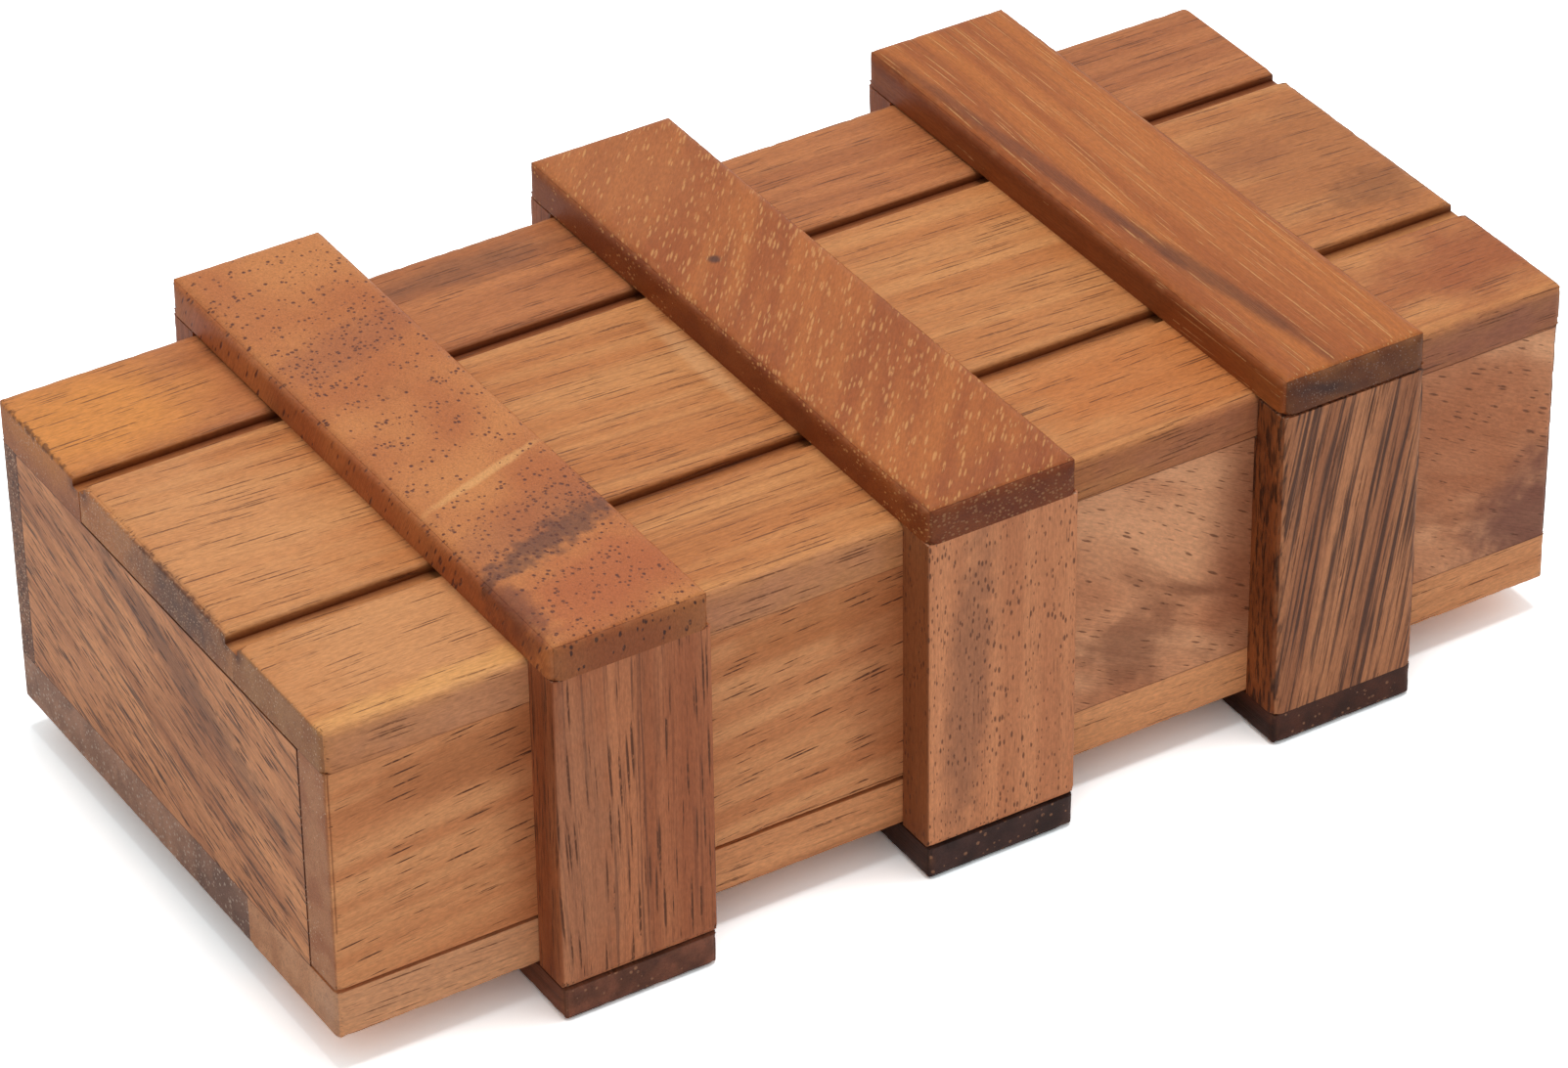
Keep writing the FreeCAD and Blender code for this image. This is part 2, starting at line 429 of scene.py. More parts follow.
def in_log(tree, turn, cut, sway):
    """Place in the log: turned so that the grain runs along the first axis, and swaying sideways."""
    place = add(tree, "ShaderNodeTexCoord").outputs["Object"]
    angles = [math.radians(angle) for angle in turn]
    scale = (1 / MM,) * 3
    mapping = add(tree, "ShaderNodeMapping", Vector=place, Rotation=angles, Scale=scale, Location=cut)
    turned = mapping.outputs[0]
    swing = add(tree, "ShaderNodeTexNoise", Vector=sized(tree, turned, SWAY_SIZE), Scale=1.0, Detail=1.0)
    centred = vector_calc(tree, "SUBTRACT", swing.outputs["Color"], MIDDLE)
    sideways = vector_calc(tree, "MULTIPLY", centred, (0.0, sway, sway))
    return vector_calc(tree, "ADD", sideways, turned)


def grain_noise(tree, place, along, across, detail=3.0, distortion=0.0):
    """Noise drawn out along the grain."""
    steps = sized(tree, place, (along, across, across))
    noise = add(
        tree, "ShaderNodeTexNoise", Vector=steps, Scale=1.0, Detail=detail, Roughness=GRAIN_ROUGHNESS,
        Distortion=distortion)
    return noise.outputs[0]


print("turns of the grain:", ALONG_X, ALONG_Y, UPRIGHT)

# %% [markdown]
# A pore is a long thin cell of the wood, which shows as a dash along the grain and as a dot across it. A
# Voronoi texture, drawn out along the grain, scatters such cells without overlap, which plain noise can't.
# Only a share of them is open, and that share changes from patch to patch.

# %% Pores
PORE_PATCH = (40, 9)
PORE_RADII = (0.55, 1.25)
PORE_RIM = (1.0, 0.5)
PORE_BREAK_SIZE = (0.9, 0.3)
PORE_BREAK_EDGES = (0.3, 0.5)
PORE_BREAK_LEVELS = (0.35, 1.0)


def pore_mask(tree, place, length, width, gap, share, more=0.0):
    """One in a pore and nought elsewhere. Pores lie about a gap apart, and more are open in places."""
    cell = (length * gap / width, gap, gap)
    cells = add(tree, "ShaderNodeTexVoronoi", Vector=sized(tree, place, cell), Scale=1.0)
    chance = add(tree, "ShaderNodeSeparateColor", Color=cells.outputs["Color"]).outputs
    patch_level = grain_noise(tree, place, *PORE_PATCH, detail=1.0)
    open_share = calc(tree, "ADD", calc(tree, "MULTIPLY", patch_level, 2 * share), more)
    open_here = calc(tree, "LESS_THAN", chance["Red"], open_share)
    spread = fade(tree, chance["Green"], 0.0, 1.0, *PORE_RADII)
    radius = calc(tree, "MULTIPLY", spread, 0.5 * width / gap)
    inside = fade(tree, calc(tree, "DIVIDE", cells.outputs["Distance"], radius), *PORE_RIM)
    breaks = grain_noise(tree, place, *PORE_BREAK_SIZE, detail=1.0)
    broken = fade(tree, breaks, *PORE_BREAK_EDGES, *PORE_BREAK_LEVELS)
    return calc(tree, "MULTIPLY", calc(tree, "MULTIPLY", inside, broken), open_here)


print("pores are", PORE_RADII[0], "to", PORE_RADII[1], "times as wide as asked")

# %% [markdown]
# Some marks belong to one board alone, such as a smear of glue, a dark band of growth or a chipped edge.
# Each is a soft patch round one place of the box, in millimetres, with a ragged edge. It tints the wood,
# and it may open or close pores as well.

# %% Marks
MARK_CORE = 0.3
MARK_DETAIL = 3.0


def patch(at, size, colour, strength, pores=0.0, **edge):
    """Mark on a board: its middle, its half sizes, its colour on the screen and how strong that is."""
    shape = dict(at=at, size=size, **edge)
    return dict(shape=shape, colour=paint(*colour), strength=strength, pores=pores)


def patch_mask(tree, at, size, turn=(0, 0, 0), ragged=0.5, grain=2.5):
    """One in the core of a patch and nought outside it."""
    place = add(tree, "ShaderNodeTexCoord").outputs["Object"]
    local = add(
        tree, "ShaderNodeMapping", {"vector_type": "TEXTURE"}, Vector=place, Location=[x * MM for x in at],
        Rotation=[math.radians(angle) for angle in turn], Scale=[x * MM for x in size])
    away = vector_calc(tree, "LENGTH", local.outputs[0], result="Value")
    rough = add(tree, "ShaderNodeTexNoise", Vector=place, Scale=1 / (grain * MM), Detail=MARK_DETAIL)
    uneven = calc(tree, "ADD", away, calc(tree, "MULTIPLY", rough.outputs[0], ragged))
    return fade(tree, uneven, 1.0 + ragged / 2, MARK_CORE + ragged / 2)


def marked(tree, colour, marks):
    """Colour with the marks of a board on it, and the share of pores that they open or close."""
    more_pores = 0.0
    for mark in marks:
        mask = patch_mask(tree, **mark["shape"])
        colour = blend(tree, calc(tree, "MULTIPLY", mask, mark["strength"]), colour, mark["colour"])
        if mark["pores"]:
            more_pores = calc(tree, "ADD", calc(tree, "MULTIPLY", mask, mark["pores"]), more_pores)
    return colour, more_pores


print("a mark is full up to", MARK_CORE, "of its size")

# %% [markdown]
# The values below are those of a plain light board, and a board names only what differs. Sizes are in
# millimetres, first along the grain and then across it. Colours are as they look on a screen.

# %% Values of plain wood
PLAIN_WOOD = dict(
    sway=3.0,
    tone_size=(90, 3.4), tone_edges=(0.3, 0.7),
    streak=(120, 70, 42), streak_size=(140, 0.8), streak_edges=(0.5, 0.75), streak_strength=0.35,
    fibre_size=(8, 0.16), fibre=0.08, mottle=0.12,
    pore=(96, 54, 32), pore_length=8.0, pore_width=0.25, pore_gap=0.36,
    pore_share=0.7, pore_strength=0.75, fine_pore_strength=0.45,
    # the side tint darkens the sides of battens as painted shade
    end_tint=(234, 230, 234), side_tint=(216, 200, 184), end_pore=(214, 178, 148),
    worn=(206, 150, 104), worn_strength=0.35,
    seam_dirt=0.0,
    marks=(),
)
WOOD_COLOURS = ("light", "dark", "streak", "pore", "end_tint", "side_tint", "end_pore", "worn")
print("plain wood has", len(PLAIN_WOOD), "values")

# %% [markdown]
# The layers go on one after another, and each is a small function. The fibres lighten and darken the
# colour in fine lines. The faces then take tints by what the worn edges tree has kept: ends are darker,
# and on some boards so are the dirty edges along the seams. The sides of the battens and the inner corners
# of grooves get painted shade.

# %% Layers of colour
STREAK_WANDER = 0.3
FIBRE_EDGES = (0.25, 0.75)
FIBRE_DETAIL = 4.0
MOTTLE_SIZE = (0.9, 0.28)
MOTTLE_DETAIL = 2.0
SQUARELY = (0.6, 0.9)
DIRT_EDGES = (0.6, 0.95)
# painted shade for inner corners, as in grooves
HOLLOW_SHADE = paint(142, 112, 92)
SEAM_TINT = paint(110, 84, 72)


def kept_value(tree, name):
    """Value that the worn edges tree has kept on the board."""
    return add(tree, "ShaderNodeAttribute", {"attribute_name": name}).outputs["Fac"]


def growth(tree, log, look):
    """Colour of the broad tone with the dark streaks over it."""
    tone = fade(tree, grain_noise(tree, log, *look["tone_size"], detail=1.0), *look["tone_edges"])
    wavy = grain_noise(tree, log, *look["streak_size"], distortion=STREAK_WANDER)
    streaks = fade(tree, wavy, *look["streak_edges"])
    colour = blend(tree, tone, look["dark"], look["light"])
    return blend(tree, calc(tree, "MULTIPLY", streaks, look["streak_strength"]), colour, look["streak"])


def shaded_by_fibres(tree, log, fibre, colour, look):
    """Colour made lighter and darker along the fibres, and mottled."""
    lines = fade(tree, fibre, *FIBRE_EDGES, 1 - look["fibre"], 1 + look["fibre"])
    spots = grain_noise(tree, log, *MOTTLE_SIZE, MOTTLE_DETAIL)
    mottle = fade(tree, spots, *FIBRE_EDGES, 1 - look["mottle"], 1 + look["mottle"])
    shade = calc(tree, "MULTIPLY", lines, mottle)
    grey = add(tree, "ShaderNodeCombineColor", Red=shade, Green=shade, Blue=shade)
    return blend(tree, 1.0, colour, grey.outputs[0], "MULTIPLY")


def tinted_and_shaded_by_faces(tree, colour, end, look):
    """Colour with the tints of ends and seams, and painted shade on the sides of battens and in grooves."""
    # the sides of the battens get painted shade by the side tint
    side = fade(tree, kept_value(tree, "sawn_side"), *SQUARELY)
    near_seam = fade(tree, kept_value(tree, "edge"), *DIRT_EDGES)
    tints = (
        (end, look["end_tint"]),
        (side, look["side_tint"]),
        # inner corners, as in grooves, get painted shade
        (kept_value(tree, "hollow"), HOLLOW_SHADE),
        (calc(tree, "MULTIPLY", near_seam, look["seam_dirt"]), SEAM_TINT),
    )
    for amount, tint in tints:
        colour = blend(tree, amount, colour, tint, "MULTIPLY")
    return colour


print("layers: growth, marks, fibres, faces, pores, wear")

# %% [markdown]
# The recipe puts the layers together. The oil leaves a satin surface: the roughness follows the fibres a
# little, and a shallow bump lets the pores and fibres catch the light. Fine pores go over most boards, and
# where an edge is chipped the bare wood under the oil shows.

# %% Recipe for oiled wood
FINE_PORE = dict(length=2.2, width=0.16, gap=0.3, share=0.6)
BUMP_HEIGHT = 0.09 * MM
BUMP_STRENGTH = 0.6
SATIN_EDGES = (0.2, 0.8)
SATIN = (0.56, 0.44)
OIL_SPECULAR = 0.2


def oiled_wood(name, turn, cut, **look):
    """Finish of one board, from the turn of its grain, where in the log it was cut, and its own look."""
    look = {**PLAIN_WOOD, **look}
    look.update({part: paint(*look[part]) for part in WOOD_COLOURS})
    material, tree = empty_material(name)
    log = in_log(tree, turn, cut, look["sway"])
    colour, more_pores = marked(tree, growth(tree, log, look), look["marks"])
    fibre = grain_noise(tree, log, *look["fibre_size"], FIBRE_DETAIL)
    colour = shaded_by_fibres(tree, log, fibre, colour, look)
    end = fade(tree, kept_value(tree, "end_grain"), *SQUARELY)
    colour = tinted_and_shaded_by_faces(tree, colour, end, look)

    pore_size = [look[part] for part in ("pore_length", "pore_width", "pore_gap")]
    pores = pore_mask(tree, log, *pore_size, look["pore_share"], more_pores)
    pore_colour = blend(tree, end, look["pore"], look["end_pore"])
    colour = blend(tree, calc(tree, "MULTIPLY", pores, look["pore_strength"]), colour, pore_colour)
    fine = calc(tree, "MULTIPLY", pore_mask(tree, log, **FINE_PORE), look["fine_pore_strength"])
    colour = blend(tree, fine, colour, look["pore"])
    wear = calc(tree, "MULTIPLY", kept_value(tree, "wear"), look["worn_strength"])
    colour = blend(tree, wear, colour, look["worn"])

    height = calc(tree, "SUBTRACT", fibre, pores)
    bump = add(tree, "ShaderNodeBump", Strength=BUMP_STRENGTH, Distance=BUMP_HEIGHT, Height=height)
    satin = fade(tree, fibre, *SATIN_EDGES, *SATIN)
    oil = add(tree, "ShaderNodeBsdfPrincipled", Base_Color=colour, Roughness=satin, Normal=bump.outputs[0])
    oil.inputs["Specular IOR Level"].default_value = OIL_SPECULAR
    add(tree, "ShaderNodeOutputMaterial", Surface=oil.outputs[0])
    return material


finishes = {}
print("oil of roughness", SATIN[1], "to", SATIN[0])

# %% [markdown]
# The three planks of the top are light golden brown with fine dark lines along the box. The left end of
# the rear plank is more orange, and towards the right all three grow redder. The middle plank carries a
# pale smear of glue beside the middle batten, and its right end has a smudge like a burl. The front plank
# has a golden band along its front edge, over a pinker front face. On the rear and the middle plank the
# upper edge of the left end is chipped, which shows as a row of small dark bites.

# %% Top planks
GOLDEN = dict(light=(205, 140, 85), dark=(190, 120, 68))
LEFT_END = -82.5
PLANK_EDGE = 46.3


def bites(middle, half_width):
    """Row of small dark chips along the upper edge of a plank's left end."""
    at = (LEFT_END, middle, PLANK_EDGE)
    return patch(at, (0.6, half_width, 0.8), (86, 50, 36), 0.7, ragged=3.0, grain=0.9)


finishes["rear_top_plank"] = oiled_wood(
    "rear plank", ALONG_X, (0, 11, 5), light=(190, 120, 72), dark=(170, 102, 60), streak_strength=0.4,
    marks=[
        patch((-76, 29, 46), (20, 14, 6), (218, 142, 70), 0.85, ragged=0.4, grain=5),
        patch((-24, 34, 46), (24, 4, 6), (126, 80, 54), 0.55, ragged=0.9, grain=3),
        bites(29, 10),
    ])
finishes["lid_plank_middle"] = oiled_wood(
    "middle plank", (0, 0, 3), (40, 3, 17), **GOLDEN,
    marks=[
        patch((78, 0, 46), (26, 22, 6), (172, 107, 62), 0.85, ragged=0.8, grain=6),
        patch((-74, 0, 46), (20, 24, 6), (214, 150, 98), 0.6, ragged=0.8, grain=6),
        patch((-11, 2, 46.4), (2, 14, 1), (220, 166, 116), 0.55, ragged=0.5),
        patch((77, -9, 46), (9, 6, 4), (128, 76, 42), 0.5, pores=0.3, ragged=1.4, grain=2),
        patch((66, 4, 46), (10, 5, 4), (156, 94, 56), 0.5, ragged=1.4, grain=3),
        patch((-83.6, -6, 43.5), (2.4, 20, 9), (78, 58, 56), 0.9, ragged=0.5),
        bites(-6, 13),
    ])
finishes["lid_plank_front"] = oiled_wood(
    "front plank", ALONG_X, (90, 21, 9), **GOLDEN, end_tint=(206, 210, 222),
    marks=[
        patch((32, -28, 46), (26, 14, 8), (192, 114, 58), 0.75, ragged=0.8, grain=6),
        patch((78, -28, 44), (24, 14, 8), (158, 86, 48), 0.9, ragged=0.8, grain=6),
        patch((-66, -28, 46), (26, 15, 8), (214, 152, 100), 0.7, ragged=0.8, grain=6),
        patch((-62, -37.5, 46.4), (34, 3.5, 1.6), (228, 166, 100), 0.75, ragged=0.8, grain=4),
        patch((-48, -40.2, 43.5), (76, 2.4, 9), (206, 142, 106), 0.9, ragged=0.4, grain=4),
        patch((46, -40.2, 43.5), (56, 2.4, 9), (168, 104, 76), 0.95, ragged=0.4, grain=4),
        patch((76, -40.2, 43.5), (20, 2.4, 9), (150, 92, 74), 0.8, ragged=0.4, grain=4),
    ])
print("planks:", sorted(finishes))

# %% [markdown]
# The front has two boards. The left one is light tan with short dark dashes and a redder band under the lid.
# The right one has a pinkish, smudgy figure like a burl, and grows dark and speckled towards its lower right
# corner. On both, a tall patch just left of each front batten is painted shade. The front floor board under
# them is plain tan.

# %% Front boards
finishes["front_side_board_left"] = oiled_wood(
    "left front board", (0, 5, 0), (15, 44, 3), light=(230, 162, 108), dark=(208, 134, 84),
    end_tint=(204, 200, 208), seam_dirt=0.5,
    streak=(184, 104, 60), streak_size=(70, 1.6), streak_strength=0.35,
    pore=(84, 46, 28), pore_length=4.6, pore_width=0.26, pore_gap=0.4, pore_share=0.6, pore_strength=0.95,
    marks=[
        patch((-62, -39, 36), (24, 4, 5), (178, 108, 62), 0.65, ragged=0.9, grain=4),
        patch((-16, -39, 37), (24, 4, 5), (186, 110, 58), 0.65, ragged=0.9, grain=4),
        # painted shade: this patch and the next darken the board just left of the middle and the left batten
        patch((-8, -39, 27), (12, 3, 30), (160, 88, 50), 0.5, ragged=0.3, grain=5),
        patch((-56, -39, 27), (7, 3, 30), (170, 96, 56), 0.5, ragged=0.3, grain=5),
    ])
finishes["front_side_board_right"] = oiled_wood(
    "right front board", (0, -28, 0), (70, 2, 31), light=(235, 170, 125), dark=(201, 131, 90),
    sway=9.0, tone_size=(18, 7), pore_length=1.8, pore_share=0.3, seam_dirt=0.6,
    streak=(140, 84, 54), streak_size=(26, 6), streak_edges=(0.5, 0.72), streak_strength=0.75,
    marks=[
        patch((22, -39, 17), (9, 4, 8), (142, 86, 58), 0.7, ragged=1.2, grain=4),
        # painted shade: this patch darkens the board just left of the right batten
        patch((39, -39, 25), (9, 3, 26), (146, 84, 56), 0.7, ragged=0.4, grain=5),
        patch((70, -39, 28), (16, 6, 18), (186, 114, 74), 0.8, ragged=0.7, grain=5),
        patch((81, -39, 14), (15, 5, 13), (120, 70, 58), 0.85, ragged=0.8, grain=2.5),
    ])
finishes["bottom_board_front"] = oiled_wood(
    "front floor board", ALONG_X, (33, 8, 50), light=(234, 163, 110), dark=(212, 140, 90),
    end_tint=(226, 236, 255), pore_share=0.45,
    marks=[patch((-68, -39, 8), (30, 8, 9), (222, 174, 136), 0.35, ragged=0.8, grain=6)])
print("front boards too:", len(finishes), "finishes")

# %% [markdown]
# The end panels have long dark grey-brown streaks, which run at a slant along the panel between short dark
# dashes. The rear board and the wide floor board are from the same darker stock.

# %% Panels, rear board and floor board
PANEL = dict(
    light=(222, 152, 102), dark=(180, 116, 76), tone_size=(24, 4), seam_dirt=0.9,
    streak=(88, 58, 46), streak_size=(10, 0.6), streak_edges=(0.5, 0.7), streak_strength=0.85,
    pore=(76, 48, 38), pore_length=3.4, pore_width=0.3, pore_gap=0.4, pore_share=0.9, pore_strength=0.95)
broad_streak = patch(
    (LEFT_END, -8, 33), (6, 34, 3.4), (104, 72, 58), 0.5, turn=(17, 0, 0), ragged=1.2, grain=2.5)
dark_end = patch((-83, -13, 7), (1.8, 15, 8), (96, 72, 64), 0.65, ragged=0.6, grain=3)
finishes["left_end_panel"] = oiled_wood(
    "left end panel", (-16, 0, -90), (12, 30, 4), marks=[broad_streak], **PANEL)
finishes["right_end_panel"] = oiled_wood("right end panel", (11, 0, -90), (52, 9, 22), **PANEL)
finishes["rear_side_board"] = oiled_wood(
    "rear board", ALONG_X, (8, 61, 35), end_tint=(166, 165, 180), **PANEL)
finishes["bottom_board_rear"] = oiled_wood(
    "rear floor board", ALONG_X, (44, 71, 16), light=(188, 142, 112), dark=(160, 118, 92),
    streak=(92, 68, 58), streak_size=(60, 3.0), streak_strength=0.4,
    end_pore=(200, 178, 160), pore_width=0.44, pore_gap=0.6, pore_share=1.0, marks=[dark_end])
print("panels and rear boards too:", len(finishes), "finishes")

# %% [markdown]
# Each top batten shows another cut. The left one has the grain diving through its face, so that its pores
# are dots, and bands of growth run across it at a slant: a speckled one, a thin pale line and a dark one.

# %% Left top batten
ACROSS_SLANT = (0, 0, 19)
finishes["top_batten_left"] = oiled_wood(
    "left top batten", (62, 0, -90), (5, 14, 60), light=(200, 129, 75), dark=(179, 104, 59),
    tone_size=(14, 14), streak_strength=0.2,
    pore=(98, 54, 40), pore_length=1.8, pore_width=0.5, pore_gap=0.6, pore_share=0.34, pore_strength=1.0,
    end_pore=(70, 40, 32), end_tint=(214, 206, 208), side_tint=(236, 222, 214),
    marks=[
        patch((-46, 20, 51), (18, 5, 8), (158, 92, 60), 0.5, pores=0.7, turn=ACROSS_SLANT, ragged=1.2),
        patch((-46.5, -11.5, 51), (14, 0.9, 3), (222, 164, 104), 0.7, turn=ACROSS_SLANT, ragged=0.7),
        patch((-46, -36, 50), (18, 9, 8), (178, 98, 58), 0.8, pores=0.2, turn=ACROSS_SLANT, ragged=0.7),
        patch((-46, -22, 51), (18, 6, 8), (150, 90, 62), 0.4, pores=0.9, turn=ACROSS_SLANT, ragged=0.8),
        patch(
            (-46, -26, 51), (18, 3.4, 8), (98, 62, 50), 0.75, pores=0.9, turn=ACROSS_SLANT, ragged=1.8,
            grain=1.6),
        patch((-56, -36, 50), (3, 9, 6), (112, 62, 46), 0.7, ragged=1.2),
    ])
print("left top batten:", len(finishes), "finishes")

# %% [markdown]
# The middle top batten has short cream flecks at a slant, fewer of them at the rear, and one dark dot. The
# right one has long cream lines along it, two dark streaks near its left edge and a dark band across its
# front end. Their left faces are plainer than their tops, so a thin patch there closes the pores. The same
# patch darkens each left face, which is painted shade.

# %% Middle and right top batten
finishes["top_batten_middle"] = oiled_wood(
    "middle top batten", (6, 0, -50), (25, 4, 33), light=(178, 103, 52), dark=(155, 82, 40),
    streak_strength=0.2, end_tint=(192, 176, 176), end_pore=(176, 126, 86), fine_pore_strength=0.0,
    pore=(218, 156, 96), pore_length=2.4, pore_width=0.36, pore_gap=0.44, pore_share=1.6, pore_strength=0.62,
    marks=[
        patch((-2, 13, 51.2), (1.2, 1.2, 1.2), (84, 50, 38), 0.9, ragged=0.4, grain=0.8),
        patch((-2, 38, 51), (16, 22, 8), (184, 114, 66), 0.5, pores=-1.3, ragged=0.6, grain=4),
        patch((3, -43, 50), (18, 8, 6), (142, 74, 44), 0.45, ragged=0.6, grain=3),
        # this patch closes the pores of the left face and darkens it as painted shade
        patch((-9.8, 0, 48.6), (1.3, 70, 6), (136, 78, 44), 0.4, pores=-2.4, ragged=0.4, grain=4),
    ])
finishes["top_batten_right"] = oiled_wood(
    "right top batten", ALONG_Y, (61, 20, 7), light=(182, 106, 51), dark=(158, 85, 40),
    streak=(112, 62, 42), streak_strength=0.3, end_tint=(168, 176, 208), end_pore=(176, 146, 130),
    pore=(228, 174, 112), pore_length=11.0, pore_width=0.2, pore_gap=0.3, pore_share=0.85, pore_strength=0.5,
    fine_pore_strength=0.0,
    marks=[
        patch(
            (41.5, 10, 51), (1.5, 46, 6), (106, 58, 36), 0.6,
            pores=-0.8, turn=(0, 0, 3), ragged=0.6, grain=5),
        patch((53, 0, 51), (8, 70, 6), (186, 112, 62), 0.3, pores=0.5, ragged=0.6, grain=5),
        patch(
            (44.5, -24, 51), (1.8, 26, 6), (98, 53, 31), 0.7,
            pores=-0.8, turn=(0, 0, 5), ragged=0.6, grain=5),
        # this patch closes the pores of the left face and darkens it as painted shade
        patch((38.2, 0, 48.6), (1.3, 70, 6), (128, 72, 40), 0.5, pores=-1.2, ragged=0.4, grain=4),
        patch((44, -45, 48.5), (9, 1.2, 1.6), (82, 56, 48), 0.8, turn=(0, 14, 0), ragged=0.8),
    ])
print("top battens too:", len(finishes), "finishes")

# %% [markdown]
# The side battens stand upright. On the front, the left one has thin dark lines, the middle one dots of
# dark pores and a smudge, and the right one strong zebra streaks that lean to the right. The rear ones are
# hardly in sight, so they take the colours of the left one, each from another place in the log.

# %% Side battens
BANDS = ("left", "middle", "right")
RUSSET = dict(light=(201, 128, 86), dark=(168, 98, 62))
finishes["front_side_batten_left"] = oiled_wood(
    "left front batten", (0, 91, 0), (9, 3, 12), **RUSSET, sway=4.0,
    streak=(84, 50, 38), streak_size=(36, 0.5), streak_edges=(0.5, 0.68), streak_strength=0.65,
    pore_length=9.0, pore_width=0.34, pore_gap=0.44, pore_share=0.9, pore_strength=0.95,
    marks=[
        patch((-55, -44.4, 22), (7, 4, 32), (182, 124, 90), 0.5, pores=0.8, ragged=0.8, grain=4),
        patch((-40, -44.4, 25), (8, 4, 34), (168, 94, 58), 0.5, pores=-0.3, ragged=0.6, grain=4),
    ])
finishes["front_side_batten_middle"] = oiled_wood(
    "middle front batten", UPRIGHT, (31, 7, 40), light=(223, 149, 103), dark=(198, 126, 85),
    side_tint=(172, 158, 140), streak_strength=0.15,
    pore=(84, 48, 34), pore_length=0.9, pore_width=0.33, pore_gap=0.48, pore_share=0.75,
    marks=[patch((-4, -44, 24), (4.2, 4, 32), (140, 90, 66), 0.6, pores=0.3, turn=(0, 4, 0), ragged=0.8)])
finishes["front_side_batten_right"] = oiled_wood(
    "right front batten", (0, 80, 0), (3, 27, 18), light=(199, 133, 91), dark=(166, 105, 70),
    side_tint=(196, 168, 134), pore_share=0.9,
    streak=(84, 54, 42), streak_size=(28, 0.58), streak_edges=(0.46, 0.64), streak_strength=0.95)
for count, band in enumerate(BANDS):
    lean = (0, 88 + count, 0)
    finishes["rear_side_batten_" + band] = oiled_wood(
        band + " rear batten", lean, (17 * count, 5, 9 * count), **RUSSET)
print("side battens too:", len(finishes), "finishes")

# %% [markdown]
# Only the ends of the bottom battens show in the photograph: dark purple-brown, with light specks.

# %% Bottom battens
FOOT_COLOURS = ((156, 98, 72), (85, 59, 52), (97, 56, 40))
FOOT_SHADE = 0.7
for count, (band, colour) in enumerate(zip(BANDS, FOOT_COLOURS)):
    finishes["bottom_batten_" + band] = oiled_wood(
        band + " bottom batten", ALONG_Y, (19 * count, 40, 8 * count),
        light=colour, dark=[FOOT_SHADE * part for part in colour],
        streak=(58, 42, 40), worn=(176, 122, 88), seam_dirt=0.4, end_pore=(178, 128, 96),
        pore_width=0.5, pore_gap=0.85, pore_share=0.6, pore_strength=0.7)
print("bottom battens too:", len(finishes), "finishes")

# %% [markdown]
# Now every board is made: sliced, worn by the tree, and turned into a plain mesh that stands for its CAD
# board. The top battens are handled most, so their edges are rolled over more. Short soft curves at the
# edges are shaded smooth, and real corners stay crisp.

# %% Make the boards
ROLLED = 0.2 * MM
ROLLED_BATTEN = 0.42 * MM
WEAR_REACH = 0.7 * MM
BATTEN_REACH = 1.1 * MM
WEAR_DEPTH = 0.2 * MM
CHIP_SIZE = 1.4 * MM
CRISP_FROM = math.radians(40)
ACROSS_BATTEN = (1.0, 0.0, 0.0)
NO_AXIS = (0.0, 0.0, 0.0)
sockets = [item for item in worn_edges.interface.items_tree if item.in_out == "INPUT"]
input_id = {socket.name: socket.identifier for socket in sockets}


def length_axis(node):
    """Unit vector along the longest side of a board."""
    low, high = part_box(node)
    sides = high - low
    longest = max(range(3), key=lambda axis: sides[axis])
    return [float(axis == longest) for axis in range(3)]


def wear_values(node, finish, seed):
    """What the worn edges tree is given for a board."""
    handled = node.startswith("top_batten")
    return {
        "Rolled": ROLLED_BATTEN if handled else ROLLED,
        "Depth": WEAR_DEPTH,
        "Reach": BATTEN_REACH if handled else WEAR_REACH,
        "Chip Size": CHIP_SIZE,
        "Seed": float(seed),
        "Length Axis": length_axis(node),
        "Side Axis": ACROSS_BATTEN if "batten" in node else NO_AXIS,
        "Finish": finish,
    }


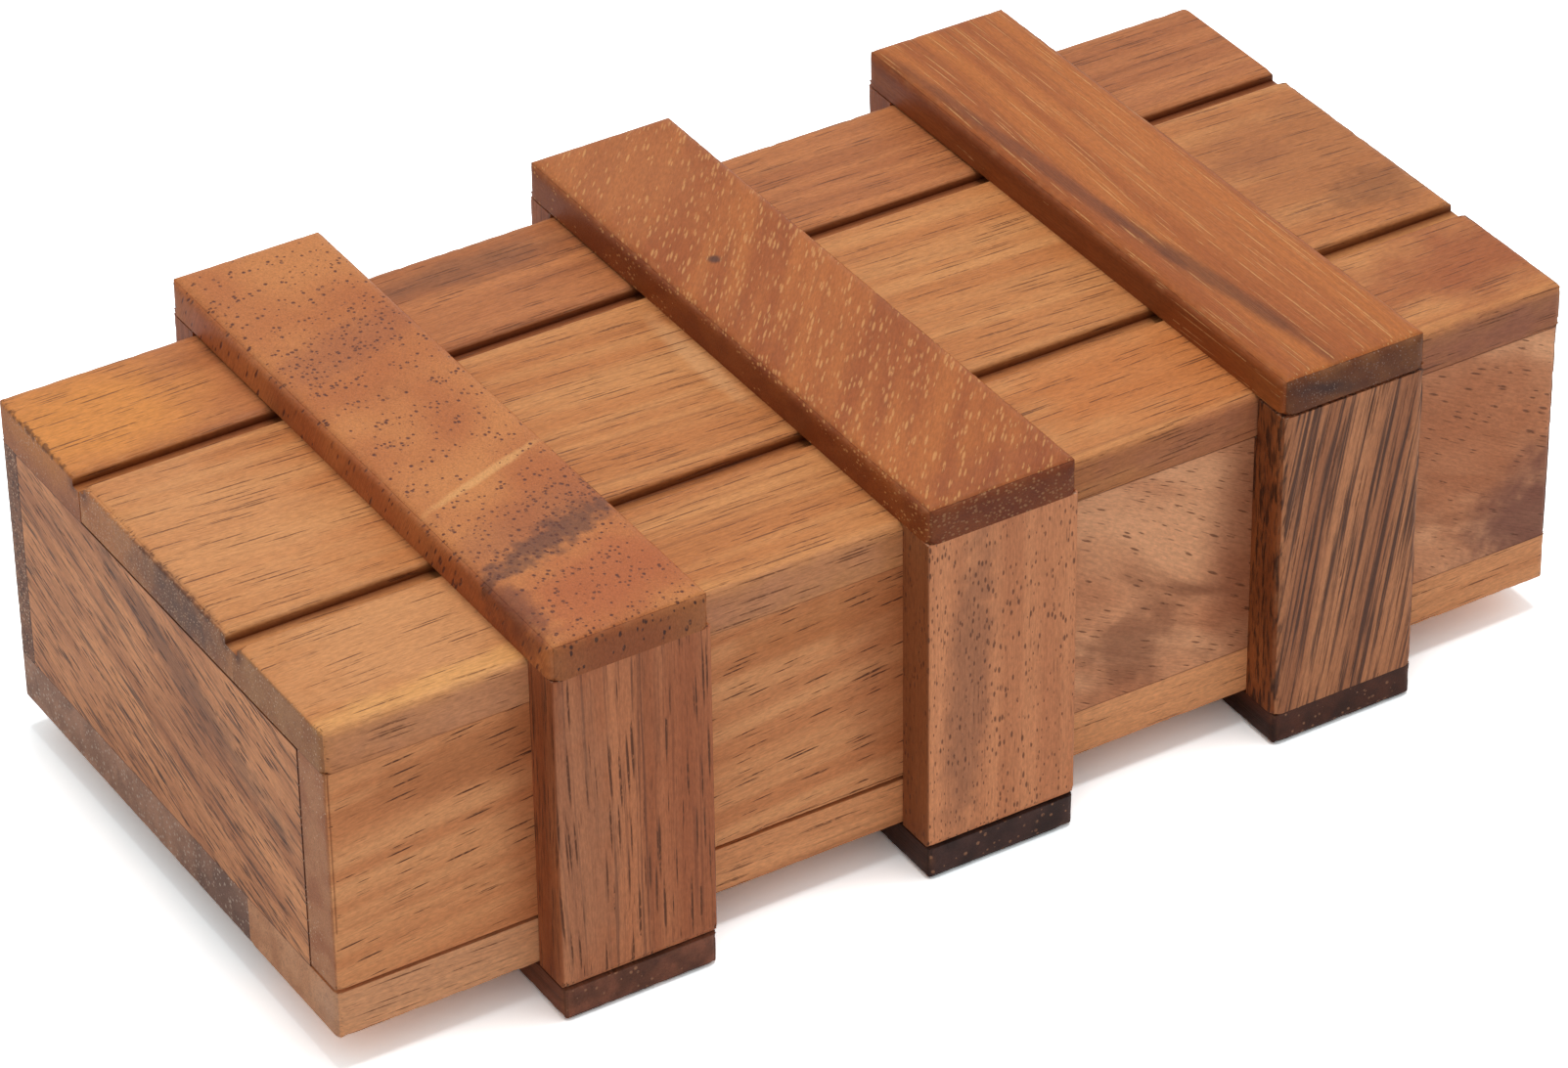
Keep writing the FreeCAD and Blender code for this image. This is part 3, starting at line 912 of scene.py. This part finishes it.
def worn_board(node, finish, seed):
    """Worn copy of a board, which stands for it and moves with its body."""
    rough = bpy.data.objects.new("rough_" + node, sliced(node))
    bpy.context.scene.collection.objects.link(rough)
    wear = rough.modifiers.new("worn edges", "NODES")
    wear.node_group = worn_edges
    for name, value in wear_values(node, finish, seed).items():
        wear[input_id[name]] = value
    bpy.context.view_layer.update()
    view = bpy.context.evaluated_depsgraph_get()
    mesh = bpy.data.meshes.new_from_object(rough.evaluated_get(view))
    bpy.data.objects.remove(rough)
    mesh.shade_smooth()
    mesh.set_sharp_from_angle(angle=CRISP_FROM)
    piece = bpy.data.objects.new("worn_" + node, mesh)
    bpy.context.scene.collection.objects.link(piece)
    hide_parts(node)
    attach(piece, body_of_node[node])
    return piece


boards = [worn_board(node, finish, seed) for seed, (node, finish) in enumerate(finishes.items())]
print(len(boards), "boards,", sum(len(board.data.polygons) for board in boards), "faces")

# %% [markdown]
# Inside are the tongue that guides the lid, the loose lock pin and the block that it drops into. Their
# shapes are right as they are in the frame, so they only get a finish: light sawn wood, and ground steel. A
# wheel leaves fine rings round a ground pin, so the steel's noise is flattened along the pin's axis.

# %% Guide and lock
SAWN = dict(light=(206, 160, 118), dark=(180, 130, 92), streak_strength=0.3)
GRINDING = (2.0 * MM, 2.0 * MM, 0.12 * MM)
GRINDING_DETAIL = 4.0
GRINDING_EDGES = (0.3, 0.7)
STEEL_ROUGHNESS = (0.22, 0.42)
STEEL_BUMP = 0.3
STEEL_DEPTH = 0.02 * MM


def ground_steel():
    material, tree = empty_material("ground steel")
    place = add(tree, "ShaderNodeTexCoord").outputs["Object"]
    rings = add(
        tree, "ShaderNodeTexNoise", Vector=sized(tree, place, GRINDING), Scale=1.0, Detail=GRINDING_DETAIL)
    lines = rings.outputs[0]
    colour = blend(tree, lines, paint(150, 150, 152), paint(200, 200, 200))
    shine = fade(tree, lines, *GRINDING_EDGES, *STEEL_ROUGHNESS)
    bump = add(tree, "ShaderNodeBump", Strength=STEEL_BUMP, Distance=STEEL_DEPTH, Height=lines).outputs[0]
    steel = add(tree, "ShaderNodeBsdfPrincipled", Base_Color=colour, Roughness=shine, Normal=bump)
    steel.inputs["Metallic"].default_value = 1.0
    add(tree, "ShaderNodeOutputMaterial", Surface=steel.outputs[0])
    return material


inside = {
    "lid_tongue": oiled_wood("tongue", ALONG_X, (4, 4, 4), **SAWN),
    "lock_block": oiled_wood("lock block", ALONG_X, (24, 14, 34), **SAWN),
    "lock_pin": ground_steel(),
}
for node, finish in inside.items():
    for slot in frame["nodes"][node].material_slots:
        slot.material = finish
print("inside:", sorted(inside))
